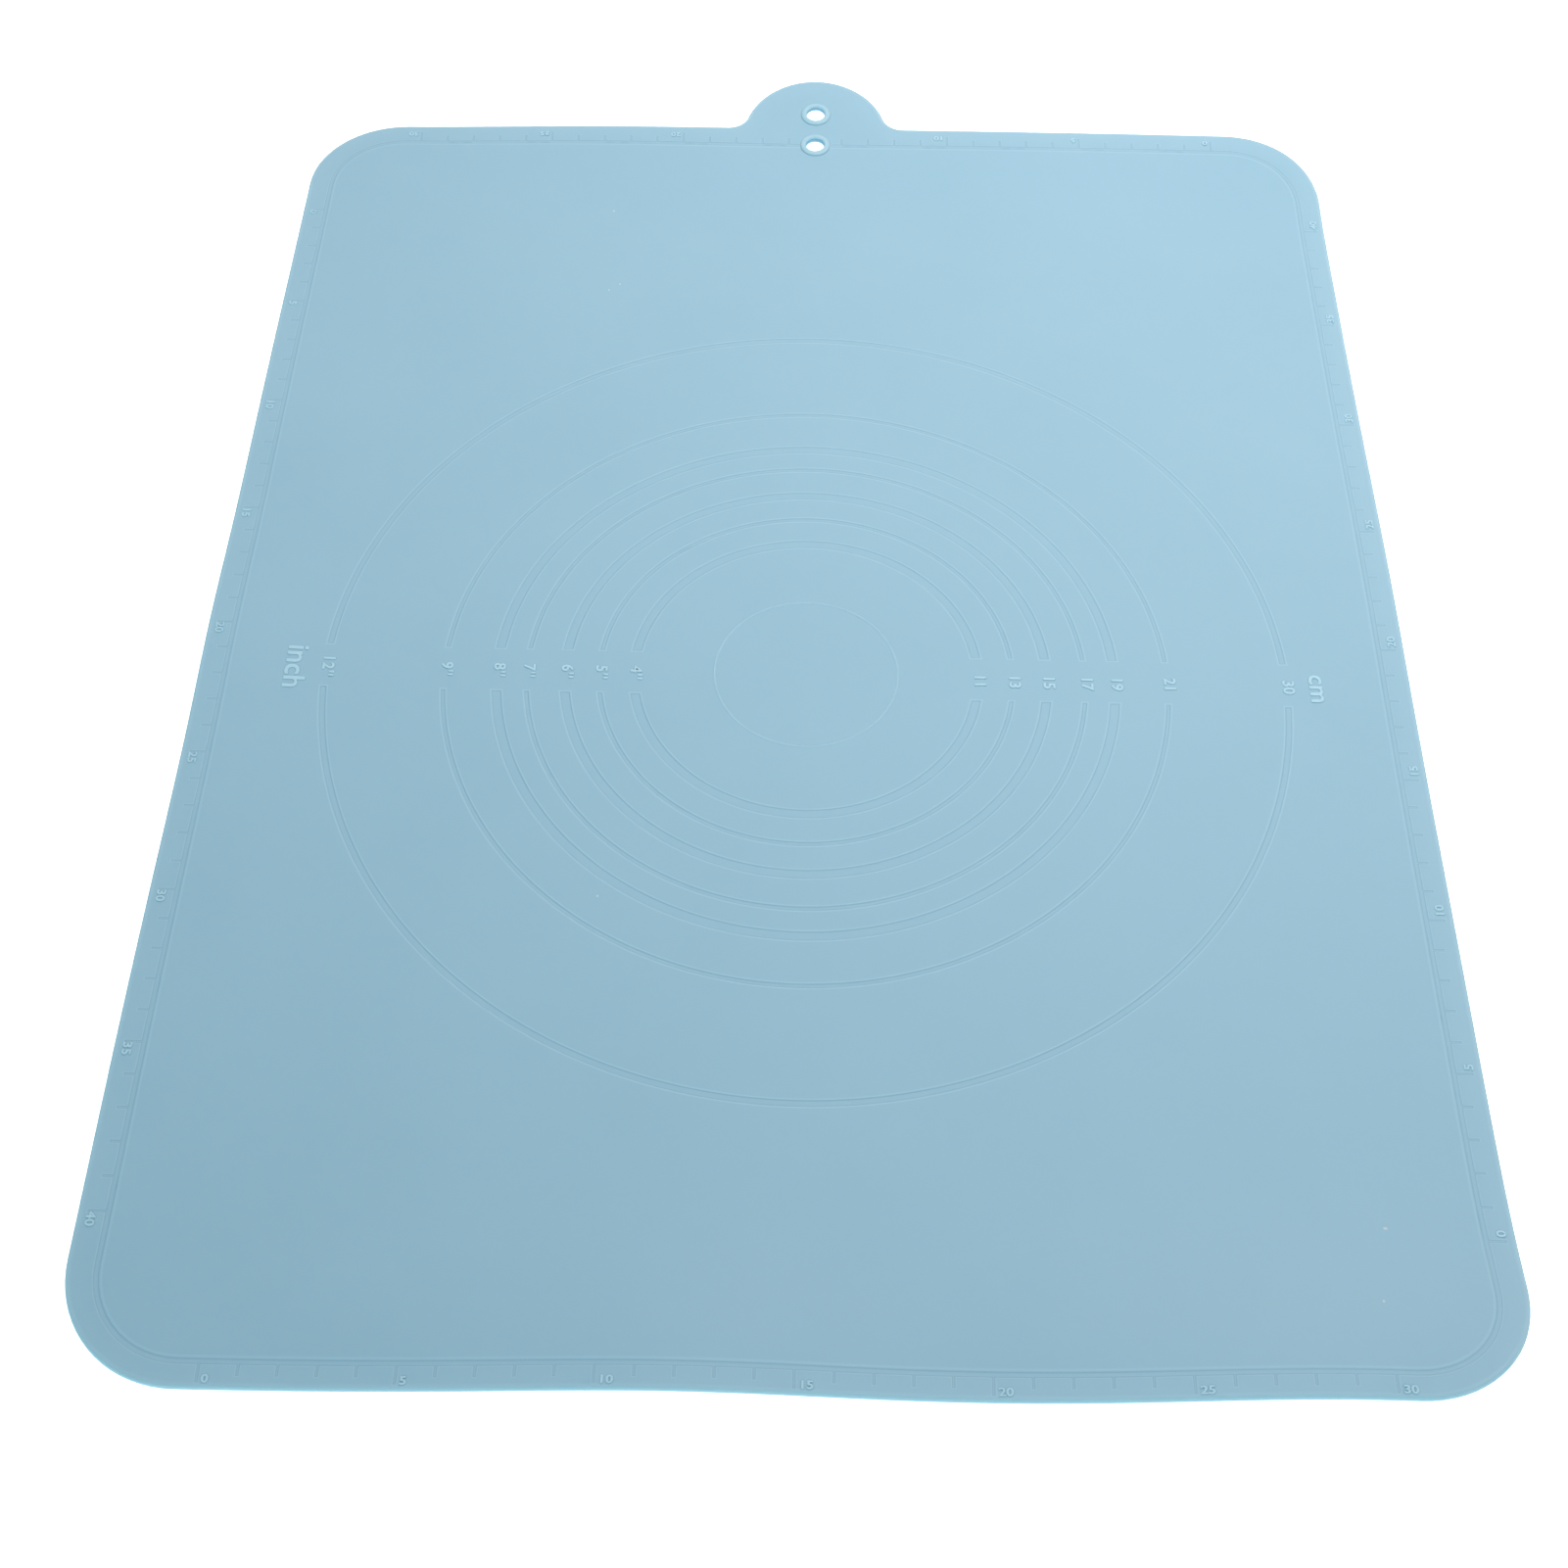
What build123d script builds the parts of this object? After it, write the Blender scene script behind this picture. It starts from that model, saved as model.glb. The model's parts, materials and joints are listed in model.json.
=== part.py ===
from build123d import *
import math
import os

# Silicone baking mat: one moulded sheet with a hanging tab, two ringed hanging holes, a centimetre
# border ruler and concentric dough circles. Millimetres. The origin is the circles' centre on the
# underside, +X is to the right, +Y is towards the hanging tab, and +Z is up, out of the marked face.

# Sheet
sheet_width = 378.0
sheet_length = 496.0
sheet_thickness = 1.5
corner_radius = 33.5
edge_round = 1.1
circles_below_centre = 14.8

# Hanging tab, from the sheet's far edge
tab_reach = 24.7
tab_radius = 27.0
tab_root_fillet = 8.0

# Hanging holes and the raised ring round each
eyelet_hole_radius = 3.5
upper_eyelet_from_tip = 18.0
eyelet_rim_width = 2.1
eyelet_rim_height = 0.7
eyelet_rim_crown_radius = 2.0
eyelet_rim_land = 0.5

# Border line and ruler ticks
line_inset = 8.3
line_below_centre = 1.3
line_width = 1.6
relief_depth = 0.4
ruler_across = 300.0
ruler_along = 400.0
tick_pitch = 10.0
ticks_per_label = 5
tick_width = 0.9
tick_reach = 3.7
label_tick_reach = 5.5

# Dough circles: radius of each groove's middle, and its width
hairline_groove = 1.4
band_groove = 3.0
outer_groove = 2.0
circle_4_inch = 53.8
circle_5_inch = 64.6
circle_6_inch = 75.3
circle_7_inch = 87.2
circle_8_inch = 96.5
circle_9_inch = 113.0
circle_12_inch = 150.0
label_gap = 17.0
label_row_shift = 1.0

# Fine raised circle in the middle
centre_ring_radius = 28.7
centre_ring_width = 0.5
centre_ring_height = 0.15

# How far cutters run past what they cut
overrun = 1.0

circle_grooves = (
    (circle_4_inch, band_groove),
    (circle_5_inch, hairline_groove),
    (circle_6_inch, band_groove),
    (circle_7_inch, hairline_groove),
    (circle_8_inch, band_groove),
    (circle_9_inch, hairline_groove),
    (circle_12_inch, outer_groove),
)

# Places that follow from the sizes above
sheet_middle = circles_below_centre
line_middle = sheet_middle - line_below_centre
far_edge = sheet_middle + sheet_length / 2
line_half_width = sheet_width / 2 - line_inset
line_half_length = sheet_length / 2 - line_inset
line_radius = corner_radius - line_inset
lower_eyelet_y = line_middle + line_half_length
upper_eyelet_y = far_edge + tab_reach - upper_eyelet_from_tip
eyelet_rim_radius = eyelet_hole_radius + eyelet_rim_width
eyelets = {"lower_eyelet_rim": lower_eyelet_y, "upper_eyelet_rim": upper_eyelet_y}
groove_floor = sheet_thickness - relief_depth


def sheet_outline():
    """Rounded rectangle and round tab in one outline, with hollow fillets at the tab's root."""
    rectangle = Pos(0, sheet_middle) * RectangleRounded(sheet_width, sheet_length, corner_radius)
    tab = Pos(0, far_edge + tab_reach - tab_radius) * Circle(tab_radius)
    outline = rectangle + tab
    far_edge_corners = outline.vertices().group_by(Axis.Y)[-1].sort_by(Axis.X)
    tab_roots = far_edge_corners[1:-1]
    return fillet(tab_roots, tab_root_fillet)


def border_line():
    """Ring-shaped face of the border line."""
    middle = Pos(0, line_middle)
    half = line_width / 2
    outer = RectangleRounded(2 * (line_half_width + half), 2 * (line_half_length + half), line_radius + half)
    inner = RectangleRounded(2 * (line_half_width - half), 2 * (line_half_length - half), line_radius - half)
    return middle * (outer - inner)


def ruler_ticks(ruler_length, line_distance, turn):
    """Ticks from the border line outwards, for the side that the turn in degrees points at."""
    steps = round(ruler_length / tick_pitch)
    ticks = []
    for step in range(steps + 1):
        reach = tick_reach if step % ticks_per_label else label_tick_reach
        along = step * tick_pitch - ruler_length / 2
        place = Pos(0, line_middle) * Rot(0, 0, turn) * Pos(along, -line_distance - reach / 2)
        ticks.append(place * Rectangle(tick_width, reach))
    return ticks


def circle_groove(radius, width):
    """Ring broken on both sides, where its two labels stand."""
    ring = Circle(radius + width / 2) - Circle(radius - width / 2)
    gap = Pos(0, -label_row_shift) * Rectangle(2 * (radius + width), label_gap)
    return ring - gap


def rulers():
    """Border line and all ticks, left out round the lower hanging hole."""
    near = ruler_ticks(ruler_across, line_half_length, 0)
    right = ruler_ticks(ruler_along, line_half_width, 90)
    far = ruler_ticks(ruler_across, line_half_length, 180)
    left = ruler_ticks(ruler_along, line_half_width, 270)
    marks = border_line() + near + right + far + left
    return marks - Pos(0, lower_eyelet_y) * Circle(eyelet_rim_radius + eyelet_rim_land)


def cut_down(face):
    """Cutter from the groove floor to above the marked face."""
    return extrude(Pos(0, 0, groove_floor) * face, relief_depth + overrun)


def mat_sheet():
    """The moulded sheet, with its holes and its relief."""
    sheet = extrude(sheet_outline(), sheet_thickness)
    sheet = fillet(sheet.edges().group_by(Axis.Z)[-1], edge_round)
    sheet -= cut_down(rulers())
    for radius, width in circle_grooves:
        sheet -= cut_down(circle_groove(radius, width))
    for eyelet_y in eyelets.values():
        sheet -= Pos(0, eyelet_y) * Cylinder(
            eyelet_hole_radius, 2 * (sheet_thickness + overrun)
        )
    half = centre_ring_width / 2
    hairline = Circle(centre_ring_radius + half) - Circle(centre_ring_radius - half)
    return sheet + extrude(Pos(0, 0, sheet_thickness) * hairline, centre_ring_height)


def eyelet_rim(eyelet_y):
    """Raised ring round a hanging hole: a short upright wall inside, and one round crown over to the foot."""
    crown_z = sheet_thickness + eyelet_rim_height
    centre_z = crown_z - eyelet_rim_crown_radius
    foot_run = math.sqrt(eyelet_rim_crown_radius**2 - (sheet_thickness - centre_z) ** 2)
    crown_x = eyelet_rim_radius - foot_run
    wall_run = crown_x - eyelet_hole_radius
    wall_top = centre_z + math.sqrt(eyelet_rim_crown_radius**2 - wall_run**2)
    foot = (eyelet_rim_radius, sheet_thickness)
    seat = (eyelet_hole_radius, sheet_thickness)
    with BuildSketch(Plane.XZ) as profile:
        with BuildLine():
            Polyline(foot, seat, (eyelet_hole_radius, wall_top))
            ThreePointArc((eyelet_hole_radius, wall_top), (crown_x, crown_z), foot)
        make_face()
    return Pos(0, eyelet_y) * revolve(profile.sketch, Axis.Z)


os.makedirs("parts", exist_ok=True)
export_step(mat_sheet(), "parts/mat_sheet.step")
for name, eyelet_y in eyelets.items():
    export_step(eyelet_rim(eyelet_y), f"parts/{name}.step")
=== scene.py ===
"""Silicone baking mat: a soft moulded sheet with a hanging tab, measuring relief and raised numbers."""

import json
import math
from functools import partialmethod

import bmesh
import bpy
from bpy.props import FloatProperty, FloatVectorProperty, IntProperty, PointerProperty
from mathutils import Matrix, Vector
from mathutils.geometry import delaunay_2d_cdt
from mathutils.kdtree import KDTree

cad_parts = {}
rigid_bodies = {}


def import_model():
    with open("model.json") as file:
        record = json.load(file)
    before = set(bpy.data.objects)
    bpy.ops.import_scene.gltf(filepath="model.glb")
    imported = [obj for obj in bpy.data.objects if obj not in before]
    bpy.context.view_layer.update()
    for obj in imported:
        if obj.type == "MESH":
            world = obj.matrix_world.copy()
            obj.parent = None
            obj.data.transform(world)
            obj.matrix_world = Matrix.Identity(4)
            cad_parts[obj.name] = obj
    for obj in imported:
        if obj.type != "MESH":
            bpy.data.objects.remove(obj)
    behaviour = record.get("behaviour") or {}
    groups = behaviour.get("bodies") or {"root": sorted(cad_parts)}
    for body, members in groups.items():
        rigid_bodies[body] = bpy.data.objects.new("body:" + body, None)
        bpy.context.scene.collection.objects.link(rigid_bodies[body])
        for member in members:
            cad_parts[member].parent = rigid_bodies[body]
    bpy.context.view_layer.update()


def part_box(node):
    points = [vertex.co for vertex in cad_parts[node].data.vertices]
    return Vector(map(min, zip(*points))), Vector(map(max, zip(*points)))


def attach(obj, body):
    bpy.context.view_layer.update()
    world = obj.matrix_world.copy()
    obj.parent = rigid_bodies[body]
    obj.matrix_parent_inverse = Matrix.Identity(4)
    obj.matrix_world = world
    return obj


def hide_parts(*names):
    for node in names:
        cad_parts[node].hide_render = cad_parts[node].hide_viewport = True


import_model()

bl_info = {
    "name": "Silicone Baking Mat",
    "version": (1, 0, 0),
    "blender": (4, 5, 0),
    "location": "View3D > Sidebar > Baking Mat",
    "description": "Builds a soft silicone baking mat with rulers, dough circles and a hanging tab",
    "category": "Add Mesh",
}

MM = 0.001

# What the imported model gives: the flat sheet, and the ring round each hanging hole.
RINGS = {"lower_ring_bead": "lower_eyelet_rim", "upper_ring_bead": "upper_eyelet_rim"}
sheet_low, sheet_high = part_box("mat_sheet")
ring_boxes = [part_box(node) for node in RINGS.values()]
ring_low, ring_high = ring_boxes[0]
marked_face = ring_low.z
ring_radius = (ring_high.x - ring_low.x) / 2
ring_height = ring_high.z - marked_face
hole_places = [Vector((0, (low.y + high.y) / 2)) for low, high in ring_boxes]
sheet_half_width = (sheet_high.x - sheet_low.x) / 2
near_edge = sheet_low.y


def amount(name, about, value, **kind):
    """A property that is a number."""
    return FloatProperty(name=name, description=about, default=value, **kind)


def length(name, about, millimetres):
    """A length property, its default given in millimetres."""
    return amount(name, about, millimetres * MM, unit="LENGTH", precision=5)


def angle(name, about, degrees):
    """An angle property, its default given in degrees."""
    return amount(name, about, math.radians(degrees), subtype="ANGLE")


def tint(name, about, value):
    """A colour property."""
    return FloatVectorProperty(name=name, description=about, subtype="COLOR", size=3, default=value)


class SheetSizes(bpy.types.PropertyGroup):
    """Outline of the moulded sheet."""

    corner_radius: length("Corner radius", "Radius of the four corners", 33.5)
    edge_round: length("Edge rounding", "Rounding of the upper edge", 1.1)
    foot_round: length("Foot rounding", "Small rounding of the lower edge", 0.2)
    tab_reach: length("Tab reach", "How far the tab stands past the far edge", 24.7)
    tab_radius: length("Tab radius", "Radius of the round tab", 27.0)
    tab_root_fillet: length("Tab root fillet", "Hollow radius where the tab meets the far edge", 8.0)
    hole_radius: length("Hole radius", "Radius of the two hanging holes", 3.5)
    mesh_step: length("Mesh step", "Distance between the points of the sheet's mesh", 6.0)


class ReliefSizes(bpy.types.PropertyGroup):
    """Sunk lines and the fine raised ring on the marked face."""

    depth: length("Groove depth", "Depth of every sunk line", 0.12)
    line_inset: length("Line inset", "Border line's middle from the edge", 8.3)
    line_shift: length("Line shift", "How much nearer the border line sits to the near edge", 1.3)
    line_width: length("Line width", "Width of the border line", 1.6)
    tick_pitch: length("Tick pitch", "Distance between ruler ticks", 10.0)
    tick_width: length("Tick width", "Width of a ruler tick", 0.9)
    tick_reach: length("Tick reach", "Short tick, from the line's middle", 3.7)
    label_tick_reach: length("Label tick reach", "Long tick at a number, from the line's middle", 5.5)
    ruler_across: length("Ruler across", "Length of the near and far rulers", 300.0)
    ruler_along: length("Ruler along", "Length of the left and right rulers", 400.0)
    gap_above: length("Gap above", "Open part of the circles past their middle", 7.5)
    gap_below: length("Gap below", "Open part of the circles before their middle", 9.5)
    ring_radius: length("Centre ring radius", "Radius of the fine raised ring", 28.7)
    ring_height: length("Centre ring height", "Height of the fine raised ring", 0.15)


class LaySizes(bpy.types.PropertyGroup):
    """How the soft mat lies: its edges lift a little, and the tab curls up."""

    near_middle: length("Near middle lift", "Wave in the near edge, left of the middle", 5.9)
    near_right: length("Near right lift", "Wave at the near right corner", 9.6)
    far_right: length("Far right lift", "Long wave in the far edge", 5.1)
    far_left: length("Far left lift", "Wave in the far edge, left of the tab", 1.4)
    left_side: length("Left side lift", "Long wave in the left edge", 1.6)
    left_middle: length("Left middle lift", "Short wave in the middle of the left edge", 2.0)
    left_near: length("Left near lift", "Wave in the left edge, towards the near corner", 2.3)
    right_side: length("Right side lift", "Wave in the right edge", 1.5)
    curl_start: length("Curl start", "Where the tab begins to curl, from the circles' centre", 250.0)
    curl_run: length("Curl run", "Length over which the tab curls", 27.0)
    curl_reach: length("Curl reach", "How far to each side the curl spreads", 60.0)
    curl_angle: angle("Curl angle", "Slope of the tab's tip", 15)


class LetteringSizes(bpy.types.PropertyGroup):
    """Raised numbers and unit words."""

    across_cap: length("Across number height", "Height of the numbers on the near and far rulers", 2.05)
    along_cap: length("Along number height", "Height of the numbers on the left and right rulers", 2.4)
    circle_cap: length("Circle number height", "Height of the numbers at the circles", 3.45)
    ruler_start: length("Ruler number start", "From the tick's middle to the number", 1.15)
    ruler_start_left: length("Left number start", "The same on the left ruler", 0.2)
    raised: length("Raised height", "How far letters stand out of the face", 0.24)
    numbers_apart: IntProperty(name="Ticks per number", description="Ticks from number to number", default=5)


class SiliconeLook(bpy.types.PropertyGroup):
    """Colours of the silicone, and of the painted light and shade on it."""

    body: tint("Body", "Colour of the silicone", (0.344, 0.576, 0.708))
    worn: tint("Bloom", "Faint paler bloom on the face", (0.360, 0.592, 0.724))
    # Painted light: the thin rounded edge and a wider band beside it are paler, standing in for light that
    # comes through the thin silicone and catches its rounding.
    rim: tint("Thin edge", "Colour of the thin rounded edge", (0.450, 0.700, 0.820))
    glow_share: amount("Edge glow", "Light that shows beside the edge", 0.2)
    # Painted highlight: the raised letters and rings are a paler, lit copy of the silicone's own colour.
    raised: tint("Raised", "Colour of the raised letters and rings", (0.500, 0.765, 0.905))
    # Painted shade: darker at the foot of walls and letters, on the groove walls and in the bores of the
    # hanging holes.
    hollow: tint("Hollows", "Colour at the foot of walls and letters", (0.215, 0.388, 0.500))
    hollow_share: amount("Hollow share", "How far hollows darken", 0.9)
    wall_share: amount("Wall share", "How far groove walls darken", 0.38)
    # Painted highlight: paler along the top edges of the grooves and on the fine raised ring.
    crest: tint("Crests", "Colour along raised edges", (0.440, 0.690, 0.820))
    crest_share: amount("Crest share", "How far raised edges pale", 0.68)
    dust: tint("Dust", "Colour of stray specks of dust", (0.62, 0.72, 0.76))


class StageSizes(bpy.types.PropertyGroup):
    """Floor, lights and camera."""

    camera_height: length("Camera height", "Camera above the underside", 533.2)
    camera_back: length("Camera back", "Camera in front of the circles' centre", 424.8)
    camera_left: length("Camera left", "Camera left of the circles' centre", 4.12)
    tilt: angle("Tilt", "Camera's tilt up from straight down", 35.686)
    turn: angle("Turn", "Camera's turn to the left", 0.29)
    roll: angle("Roll", "Camera's roll", 1.01)
    lens: amount("Lens", "Focal length on a 36 mm sensor", 49.88, subtype="DISTANCE_CAMERA")
    key_power: amount("Key power", "Soft warm light over the far right", 5.5, subtype="POWER")
    key_colour: tint("Key colour", "Colour of the light over the far right", (1.0, 0.85, 0.83))
    back_power: amount("Back power", "Large soft light behind the tab", 8.4, subtype="POWER")
    back_colour: tint("Back colour", "Colour of the light behind the tab", (1.0, 1.0, 1.0))
    front_power: amount("Front power", "Far soft light in front, to the left", 84.0, subtype="POWER")
    front_colour: tint("Front colour", "Colour of the light in front", (0.58, 0.96, 1.0))
    room_power: amount("Room power", "Strength of the pale surroundings", 0.144)
    room_colour: tint("Room colour", "Colour of the surroundings", (0.85, 0.985, 1.0))


class BakingMat(bpy.types.PropertyGroup):
    """Everything that a user of the panel can change."""

    sheet: PointerProperty(type=SheetSizes)
    relief: PointerProperty(type=ReliefSizes)
    lay: PointerProperty(type=LaySizes)
    lettering: PointerProperty(type=LetteringSizes)
    silicone: PointerProperty(type=SiliconeLook)
    stage: PointerProperty(type=StageSizes)


def mat_settings():
    """The scene's settings for the mat."""
    return bpy.context.scene.baking_mat


def lay_values():
    """The settings of how the mat lies, by name."""
    lay = mat_settings().lay
    return {name: getattr(lay, name) for name in LaySizes.__annotations__}


# Nodes

class Wire:
    """A node socket on which sums can be written."""

    def __init__(self, tree, socket):
        self.tree = tree
        self.socket = socket

    def maths(self, operation, *others):
        """This value and the others through one math node."""
        node = self.tree.nodes.new("ShaderNodeMath")
        node.operation = operation
        for socket, value in zip(node.inputs, (self, *others)):
            plug(self.tree, socket, value)
        return Wire(self.tree, node.outputs[0])

    __add__ = partialmethod(maths, "ADD")
    __sub__ = partialmethod(maths, "SUBTRACT")
    __mul__ = partialmethod(maths, "MULTIPLY")
    __truediv__ = partialmethod(maths, "DIVIDE")
    __pow__ = partialmethod(maths, "POWER")


def plug(tree, socket, value):
    """Joins a wire to a socket, or sets the socket to a plain value."""
    if isinstance(value, Wire):
        tree.links.new(value.socket, socket)
    else:
        socket.default_value = value


def set_sockets(node, values):
    """Sets inputs of a node to plain values."""
    for name, value in values.items():
        node.inputs[name].default_value = value


def add_node(tree, kind, inputs=(), output=0, **settings):
    """A new node with its settings and inputs; gives the wire of one of its outputs."""
    node = tree.nodes.new(kind)
    for name, value in settings.items():
        setattr(node, name, value)
    for key, value in dict(inputs).items():
        plug(tree, node.inputs[key], value)
    return Wire(tree, node.outputs[output])


def vector_parts(tree, vector):
    """The wires of a vector's three parts."""
    node = tree.nodes.new("ShaderNodeSeparateXYZ")
    plug(tree, node.inputs[0], vector)
    return [Wire(tree, output) for output in node.outputs]


def ellipse_square(x, y, across, along, reach_across, reach_along):
    """Square of the distance from an ellipse's middle, 1 on the ellipse, which is in millimetres."""
    across_share = (x - across * MM) / (reach_across * MM)
    along_share = (y - along * MM) / (reach_along * MM)
    return across_share ** 2.0 + along_share ** 2.0


SOCKET_TYPES = {float: "Float", int: "Int", bool: "Bool", tuple: "Vector"}


def new_tree(name, kind, inputs, outputs):
    """A tree with named sockets, each given its type or its default; gives its inputs' wires too."""
    tree = bpy.data.node_groups.new(name, kind)
    for in_out, sockets in (("INPUT", inputs), ("OUTPUT", outputs)):
        for socket_name, given in sockets.items():
            plain = not isinstance(given, str)
            socket_type = "NodeSocket" + (SOCKET_TYPES[type(given)] if plain else given)
            socket = tree.interface.new_socket(socket_name, in_out=in_out, socket_type=socket_type)
            if plain:
                socket.default_value = given
    start = tree.nodes.new("NodeGroupInput")
    return tree, {name: Wire(tree, start.outputs[name]) for name in inputs}


def geometry_tree(name, inputs):
    """A geometry tree that takes and gives geometry, and takes its material last."""
    inputs = {"Geometry": "Geometry", **inputs, "Material": "Material"}
    return new_tree(name, "GeometryNodeTree", inputs, {"Geometry": "Geometry"})


def shader_tree(name, inputs, outputs):
    """A shader group whose outputs are masks or values."""
    return new_tree(name, "ShaderNodeTree", inputs, dict.fromkeys(outputs, "Float"))


def close_tree(tree, **results):
    """Joins the results to the tree's outputs, and spreads its nodes out for reading."""
    end = tree.nodes.new("NodeGroupOutput")
    for name, wire in results.items():
        plug(tree, end.inputs[name], wire)
    for place, node in enumerate(tree.nodes):
        node.location = (200 * (place // 8), -180 * (place % 8))
    return tree


def close_geometry(tree, shape, material):
    """The end of every geometry tree: plain faces with their material."""
    shape = add_node(tree, "GeometryNodeRealizeInstances", {0: shape})
    shape = add_node(tree, "GeometryNodeSetMaterial", {"Geometry": shape, "Material": material})
    return close_tree(tree, Geometry=shape)


def built_once(build):
    """Makes a tree, named after its function, only where there is none yet."""
    def tree():
        return bpy.data.node_groups.get(build.__name__) or build(build.__name__)
    return tree


def run_tree(piece, tree, values):
    """Puts a geometry tree on a piece, with its inputs set by their identifiers."""
    modifier = piece.modifiers.new(tree.name, "NODES")
    modifier.node_group = tree
    identifiers = {
        item.name: item.identifier for item in tree.interface.items_tree if item.in_out == "INPUT"
    }
    for name, value in values.items():
        modifier[identifiers[name]] = value


# How the soft mat lies on the table, in millimetres. Each wave has its setting's name, its place across
# and along, its reach across and along, and the sides that it draws in, because the mat doesn't stretch.
WAVES = (
    ("near_middle", -30, -233, 64, 38, 0, -1),
    ("near_right", 147, -233, 77, 37, 1, -1),
    ("far_right", 120, 263, 220, 29, 0, 1),
    ("far_left", -80, 263, 60, 30, 0, 1),
    ("left_side", -189, 120, 30, 110, -1, 0),
    ("left_middle", -189, 15, 30, 35, -1, 0),
    ("left_near", -189, -115, 30, 85, -1, 0),
    ("right_side", 189, 45, 30, 50, 1, 0),
)
# How far a wave draws its side in: this share of its height's square over its reach.
DRAWN_IN = 0.31


@built_once
def lay_on_table(name):
    """Tree that lifts a flat piece's points along the mat's waves, and rolls the tab up."""
    tree, given = geometry_tree(name, {**lay_values(), "Smooth": True})
    x, y, z = vector_parts(tree, add_node(tree, "GeometryNodeInputPosition"))

    lift = x * 0.0
    laid_x = x
    drawn_y = y
    for wave, across, along, reach_across, reach_along, side_x, side_y in WAVES:
        square = ellipse_square(x, y, across, along, reach_across, reach_along)
        bump = (square * -1.0).maths("EXPONENT") * given[wave]
        lift += bump
        if side_x:
            laid_x -= bump * bump * (side_x * DRAWN_IN / (reach_across * MM))
        if side_y:
            drawn_y -= bump * bump * (side_y * DRAWN_IN / (reach_along * MM))

    # The slope grows in a smooth step along the curl, and the rise and the shrink are its integrals.
    run = given["curl_run"]
    start = given["curl_start"]
    share = ((y - start) / run).maths("MAXIMUM", 0.0).maths("MINIMUM", 1.0)
    past = (y - start - run).maths("MAXIMUM", 0.0)
    spread = (((x / given["curl_reach"]) ** 2.0) * -1.0).maths("EXPONENT")
    full = given["curl_angle"] * spread
    cube = share ** 3.0
    slope = full * ((share ** 2.0) * 3.0 - cube * 2.0)
    rise = full * run * (cube - (share ** 4.0) * 0.5) + past * full.maths("SINE")
    shrink = (share ** 5.0) * 1.8 - (share ** 6.0) * 2.0 + (share ** 7.0) * (4 / 7)
    back = full * full * 0.5 * run * shrink
    back += past - past * full.maths("COSINE")

    laid_y = drawn_y - back - z * slope.maths("SINE")
    laid_z = lift + rise + z * slope.maths("COSINE")
    laid = add_node(tree, "ShaderNodeCombineXYZ", {"X": laid_x, "Y": laid_y, "Z": laid_z})
    shape = add_node(tree, "GeometryNodeSetPosition", {"Geometry": given["Geometry"], "Position": laid})
    shape = add_node(
        tree, "GeometryNodeSetShadeSmooth", {"Geometry": shape, "Shade Smooth": given["Smooth"]}
    )
    return close_geometry(tree, shape, given["Material"])


@built_once
def ring_bead(name):
    """Tree that sweeps a low rounded section round a hanging hole, its crown near the hole."""
    tree, given = geometry_tree(name, {
        "Inner Radius": 3.5 * MM,
        "Width": 2.1 * MM,
        "Height": 0.7 * MM,
        "Sunk": 0.25 * MM,
        "Crown": 0.85,
        "Lean": 1.6,
        "Place": (0, 0, 0),
    })
    half = given["Width"] * 0.5
    middle = given["Inner Radius"] + half
    path, section = (
        add_node(
            tree, "GeometryNodeCurvePrimitiveCircle", {"Resolution": points, "Radius": radius}, mode="RADIUS"
        )
        for points, radius in ((72, middle), (24, half))
    )
    bead = add_node(tree, "GeometryNodeCurveToMesh", {"Curve": path, "Profile Curve": section})
    x, y, z = vector_parts(tree, add_node(tree, "GeometryNodeInputPosition"))
    share = z / half
    above = share.maths("MAXIMUM", 0.0) ** given["Crown"]
    below = share.maths("MINIMUM", 0.0)
    height = above * given["Height"] + below * given["Sunk"]
    reach = (x * x + y * y) ** 0.5
    across = ((reach - given["Inner Radius"]) / given["Width"]).maths("MAXIMUM", 0.0)
    leaned = (across ** given["Lean"]) * given["Width"] + given["Inner Radius"]
    scale = leaned / reach
    shaped = add_node(tree, "ShaderNodeCombineXYZ", {"X": x * scale, "Y": y * scale, "Z": height})
    bead = add_node(tree, "GeometryNodeSetPosition", {"Geometry": bead, "Position": shaped})
    bead = add_node(tree, "GeometryNodeTransform", {"Geometry": bead, "Translation": given["Place"]})
    return close_geometry(tree, bead, given["Material"])


@built_once
def number_row(name):
    """Tree that sets a row of numbers out along one ruler."""
    tree, given = geometry_tree(name, {
        "Numbers": "Collection",
        "Count": 7,
        "Apart": 0.05,
        "First": (0, 0, 0),
        "Turn": 0.0,
        "Middle": (0, 0, 0),
        "Left Out": -1,
    })
    step = add_node(tree, "ShaderNodeCombineXYZ", {"X": given["Apart"]})
    row = add_node(
        tree, "GeometryNodeMeshLine",
        {"Count": given["Count"], "Start Location": given["First"], "Offset": step},
        mode="OFFSET",
    )
    index = add_node(tree, "GeometryNodeInputIndex")
    kept = index.maths("COMPARE", given["Left Out"], 0.5) * -1.0 + 1.0
    stock = add_node(
        tree, "GeometryNodeCollectionInfo",
        {"Collection": given["Numbers"], "Separate Children": True, "Reset Children": True},
    )
    numbers = add_node(
        tree, "GeometryNodeInstanceOnPoints",
        {"Points": row, "Selection": kept, "Instance": stock, "Pick Instance": True,
         "Instance Index": index},
    )
    turn = add_node(tree, "ShaderNodeCombineXYZ", {"Z": given["Turn"]})
    rotation = add_node(tree, "FunctionNodeEulerToRotation", {0: turn})
    numbers = add_node(
        tree, "GeometryNodeTransform",
        {"Geometry": numbers, "Translation": given["Middle"], "Rotation": rotation},
    )
    return close_geometry(tree, numbers, given["Material"])


# Silicone

OBJECT_PLACE = 3
ATTRIBUTE_VALUE = 2


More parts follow.
